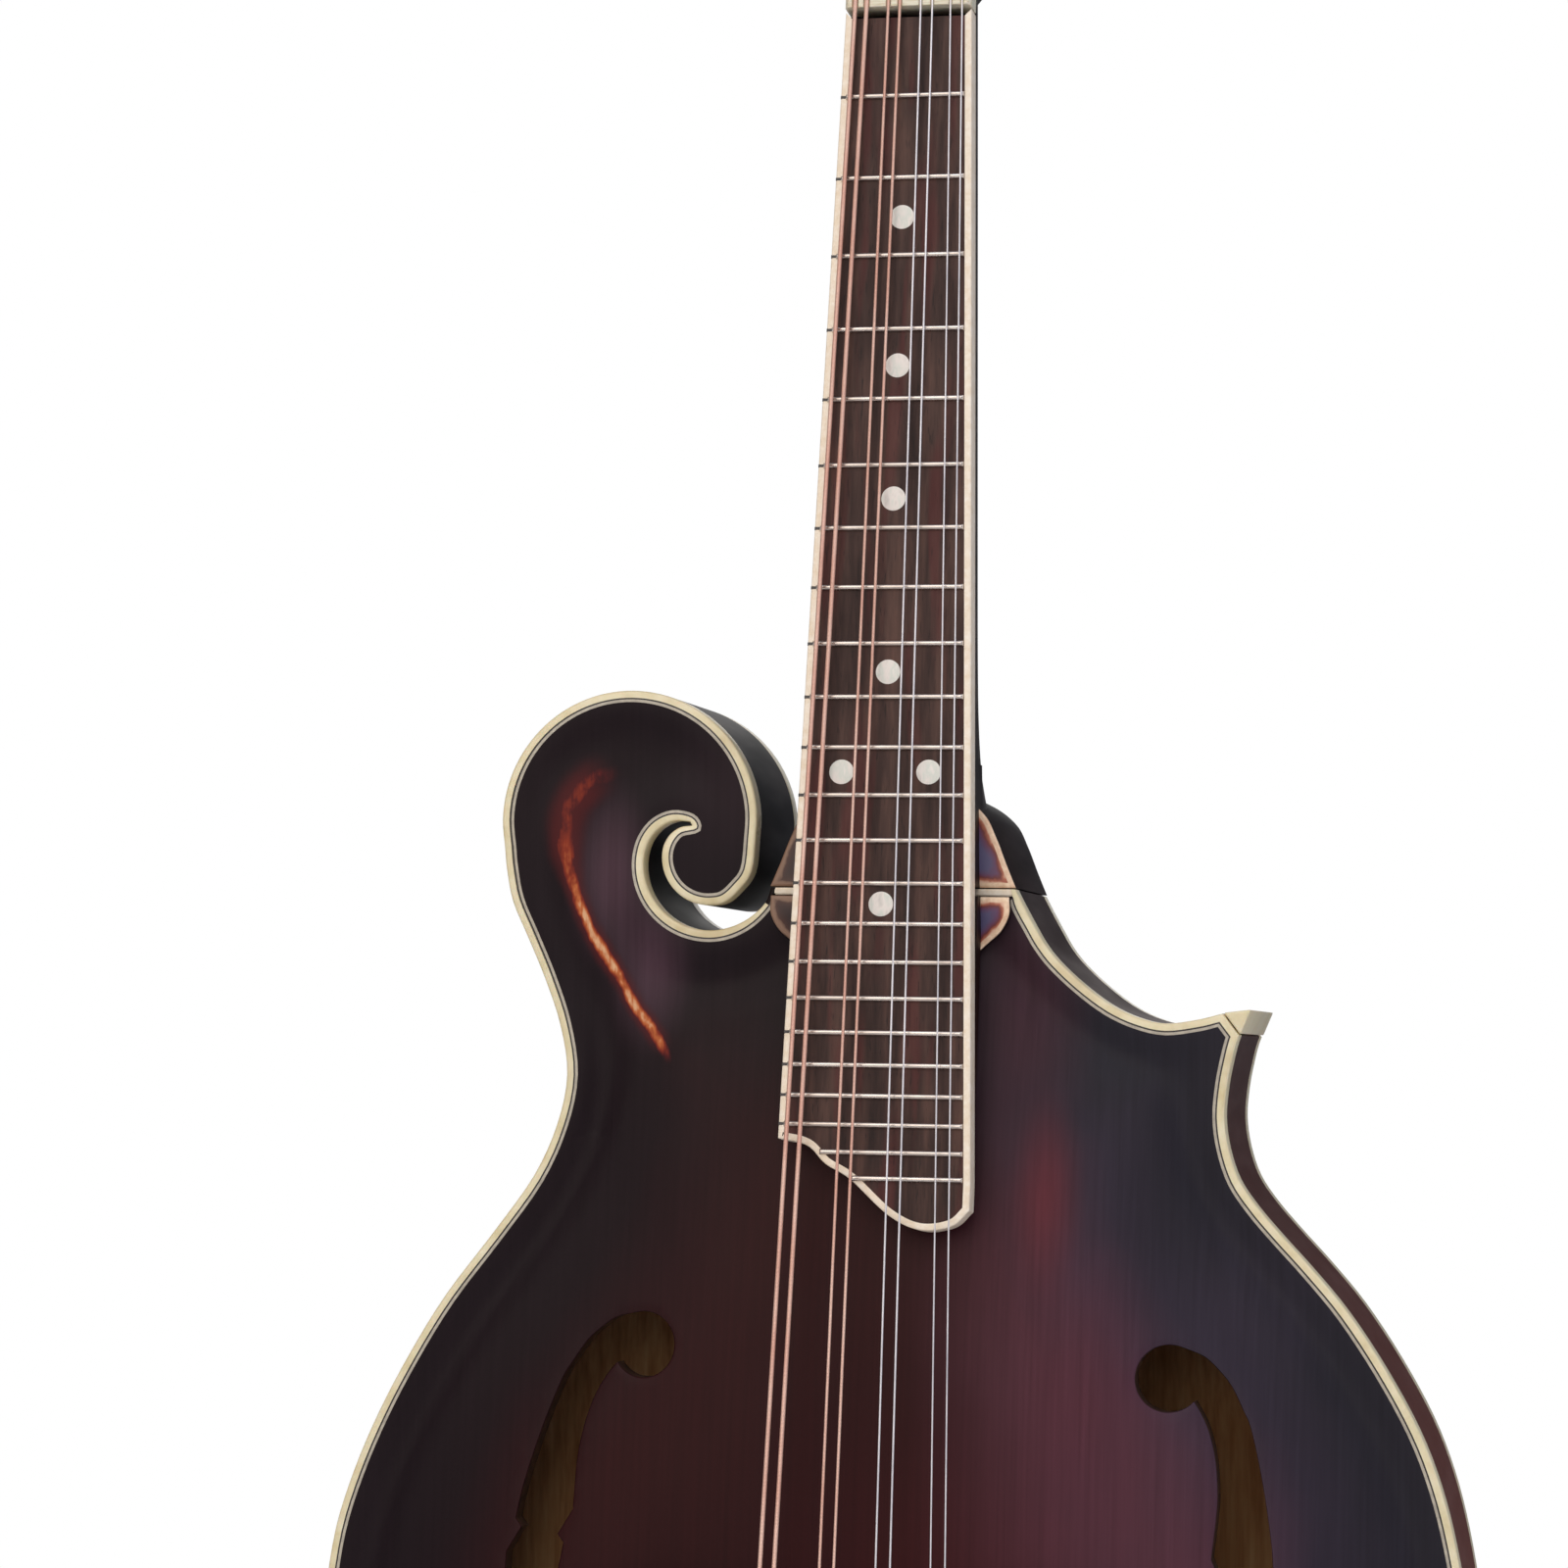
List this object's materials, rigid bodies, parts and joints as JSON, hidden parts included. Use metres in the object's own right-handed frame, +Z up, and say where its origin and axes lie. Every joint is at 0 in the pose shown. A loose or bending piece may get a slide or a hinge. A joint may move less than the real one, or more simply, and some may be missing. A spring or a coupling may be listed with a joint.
{
  "type": "f-style mandolin",
  "caption": "Carved-top mandolin with scroll, points and f-holes; tuners turn, the saddle lifts on thumbwheels and the tailpiece cover slides.",
  "frame": {"origin": "middle of the end pin's flat outer face, on the centre line of the body and half way through the rim's depth", "axes": "+X to the treble side, +Y from the top towards the back, +Z up the body's centre line towards the headstock"},
  "size_m": [0.2575, 0.1099, 0.6698],
  "materials": {
    "top_lacquer": "gloss lacquer",
    "side_lacquer": "gloss lacquer",
    "ivory_binding": "scraped and lacquered",
    "plain_wood": "unfinished",
    "rosewood": "oiled",
    "bone": "polished",
    "black_veneer": "gloss lacquer",
    "pearl_button": "moulded",
    "nickel": "plated",
    "steel": "bright",
    "bronze_winding": "wound"
  },
  "bodies": {
    "root": {"top_plate": "top_lacquer", "back_plate": "side_lacquer", "rim": "side_lacquer", "top_binding": "ivory_binding", "back_binding": "ivory_binding", "upper_point_cap": "ivory_binding", "lower_point_cap": "ivory_binding", "head_block": "plain_wood", "tail_block": "plain_wood", "top_lining_bass": "plain_wood", "top_lining_treble": "plain_wood", "back_lining_bass": "plain_wood", "back_lining_treble": "plain_wood", "tone_bar_bass": "plain_wood", "tone_bar_treble": "plain_wood", "neck": "side_lacquer", "truss_rod": "steel", "head_overlay": "black_veneer", "truss_rod_cover": "black_veneer", "neck_joint_strip": "ivory_binding", "extension_riser": "side_lacquer", "fingerboard": "rosewood", "fingerboard_binding": "ivory_binding", "nut": "bone", "tuner_plate_bass": "nickel", "tuner_plate_treble": "nickel", "bridge_base": "rosewood", "bridge_stud_bass": "steel", "bridge_stud_treble": "steel", "tailpiece_base": "nickel", "end_pin": "black_veneer", "string_g1": "bronze_winding", "string_g2": "bronze_winding", "string_d1": "bronze_winding", "string_d2": "bronze_winding", "string_a1": "steel", "string_a2": "steel", "string_e1": "steel", "string_e2": "steel"},
    "post_g1": {"tuner_post_g1": "steel"},
    "post_g2": {"tuner_post_g2": "steel"},
    "post_d1": {"tuner_post_d1": "steel"},
    "post_d2": {"tuner_post_d2": "steel"},
    "post_a1": {"tuner_post_a1": "steel"},
    "post_a2": {"tuner_post_a2": "steel"},
    "post_e1": {"tuner_post_e1": "steel"},
    "post_e2": {"tuner_post_e2": "steel"},
    "button_g1": {"tuner_button_g1": "pearl_button"},
    "button_g2": {"tuner_button_g2": "pearl_button"},
    "button_d1": {"tuner_button_d1": "pearl_button"},
    "button_d2": {"tuner_button_d2": "pearl_button"},
    "button_a1": {"tuner_button_a1": "pearl_button"},
    "button_a2": {"tuner_button_a2": "pearl_button"},
    "button_e1": {"tuner_button_e1": "pearl_button"},
    "button_e2": {"tuner_button_e2": "pearl_button"},
    "saddle": {"bridge_saddle": "rosewood"},
    "wheel_bass": {"thumbwheel_bass": "nickel"},
    "wheel_treble": {"thumbwheel_treble": "nickel"},
    "cover": {"tailpiece_cover": "nickel"}
  },
  "joints": [
    {"name": "button_g1_turn", "type": "hinge", "parent": "root", "child": "button_g1", "pos_m": [-0.0185, 0.01613, 0.53788], "axis": [1, 0, 0], "continuous": true},
    {"name": "post_g1_turn", "type": "hinge", "parent": "root", "child": "post_g1", "pos_m": [-0.0185, 0.0189, 0.54549], "axis": [0, 0.9397, -0.342], "continuous": true},
    {"name": "button_g2_turn", "type": "hinge", "parent": "root", "child": "button_g2", "pos_m": [-0.0185, 0.024, 0.55949], "axis": [1, 0, 0], "continuous": true},
    {"name": "post_g2_turn", "type": "hinge", "parent": "root", "child": "post_g2", "pos_m": [-0.0185, 0.02677, 0.5671], "axis": [0, 0.9397, -0.342], "continuous": true},
    {"name": "button_d1_turn", "type": "hinge", "parent": "root", "child": "button_d1", "pos_m": [-0.0185, 0.03186, 0.5811], "axis": [1, 0, 0], "continuous": true},
    {"name": "post_d1_turn", "type": "hinge", "parent": "root", "child": "post_d1", "pos_m": [-0.0185, 0.03463, 0.58871], "axis": [0, 0.9397, -0.342], "continuous": true},
    {"name": "button_d2_turn", "type": "hinge", "parent": "root", "child": "button_d2", "pos_m": [-0.0185, 0.03973, 0.60271], "axis": [1, 0, 0], "continuous": true},
    {"name": "post_d2_turn", "type": "hinge", "parent": "root", "child": "post_d2", "pos_m": [-0.0185, 0.0425, 0.61033], "axis": [0, 0.9397, -0.342], "continuous": true},
    {"name": "button_e2_turn", "type": "hinge", "parent": "root", "child": "button_e2", "pos_m": [0.0185, 0.01613, 0.53788], "axis": [1, 0, 0], "continuous": true},
    {"name": "post_e2_turn", "type": "hinge", "parent": "root", "child": "post_e2", "pos_m": [0.0185, 0.0189, 0.54549], "axis": [0, 0.9397, -0.342], "continuous": true},
    {"name": "button_e1_turn", "type": "hinge", "parent": "root", "child": "button_e1", "pos_m": [0.0185, 0.024, 0.55949], "axis": [1, 0, 0], "continuous": true},
    {"name": "post_e1_turn", "type": "hinge", "parent": "root", "child": "post_e1", "pos_m": [0.0185, 0.02677, 0.5671], "axis": [0, 0.9397, -0.342], "continuous": true},
    {"name": "button_a2_turn", "type": "hinge", "parent": "root", "child": "button_a2", "pos_m": [0.0185, 0.03186, 0.5811], "axis": [1, 0, 0], "continuous": true},
    {"name": "post_a2_turn", "type": "hinge", "parent": "root", "child": "post_a2", "pos_m": [0.0185, 0.03463, 0.58871], "axis": [0, 0.9397, -0.342], "continuous": true},
    {"name": "button_a1_turn", "type": "hinge", "parent": "root", "child": "button_a1", "pos_m": [0.0185, 0.03973, 0.60271], "axis": [1, 0, 0], "continuous": true},
    {"name": "post_a1_turn", "type": "hinge", "parent": "root", "child": "post_a1", "pos_m": [0.0185, 0.0425, 0.61033], "axis": [0, 0.9397, -0.342], "continuous": true},
    {"name": "saddle_lift", "type": "slide", "parent": "root", "child": "saddle", "axis": [0, -1, 0], "range_m": [0, 0.002], "deforming": ["string_g1", "string_g2", "string_d1", "string_d2", "string_a1", "string_a2", "string_e1", "string_e2"]},
    {"name": "wheel_bass_turn", "type": "hinge", "parent": "saddle", "child": "wheel_bass", "pos_m": [-0.03, -0.0443, 0.16094], "axis": [0, -1, 0], "range_deg": [0, 900], "deforming": ["string_g1", "string_g2", "string_d1", "string_d2", "string_a1", "string_a2", "string_e1", "string_e2"]},
    {"name": "wheel_treble_turn", "type": "hinge", "parent": "saddle", "child": "wheel_treble", "pos_m": [0.03, -0.0443, 0.16094], "axis": [0, -1, 0], "range_deg": [0, 900]},
    {"name": "cover_slide", "type": "slide", "parent": "root", "child": "cover", "axis": [0, 0, -1], "range_m": [0, 0.06]}
  ],
  "couplings": [
    {"joint": "post_g1_turn", "follows": "button_g1_turn", "ratio": 0.071429},
    {"joint": "post_g2_turn", "follows": "button_g2_turn", "ratio": 0.071429},
    {"joint": "post_d1_turn", "follows": "button_d1_turn", "ratio": 0.071429},
    {"joint": "post_d2_turn", "follows": "button_d2_turn", "ratio": 0.071429},
    {"joint": "post_e2_turn", "follows": "button_e2_turn", "ratio": 0.071429},
    {"joint": "post_e1_turn", "follows": "button_e1_turn", "ratio": 0.071429},
    {"joint": "post_a2_turn", "follows": "button_a2_turn", "ratio": 0.071429},
    {"joint": "post_a1_turn", "follows": "button_a1_turn", "ratio": 0.071429},
    {"joint": "saddle_lift", "follows": "wheel_bass_turn", "m_per_rad": 0.000126},
    {"joint": "wheel_treble_turn", "follows": "wheel_bass_turn", "ratio": 1}
  ]
}
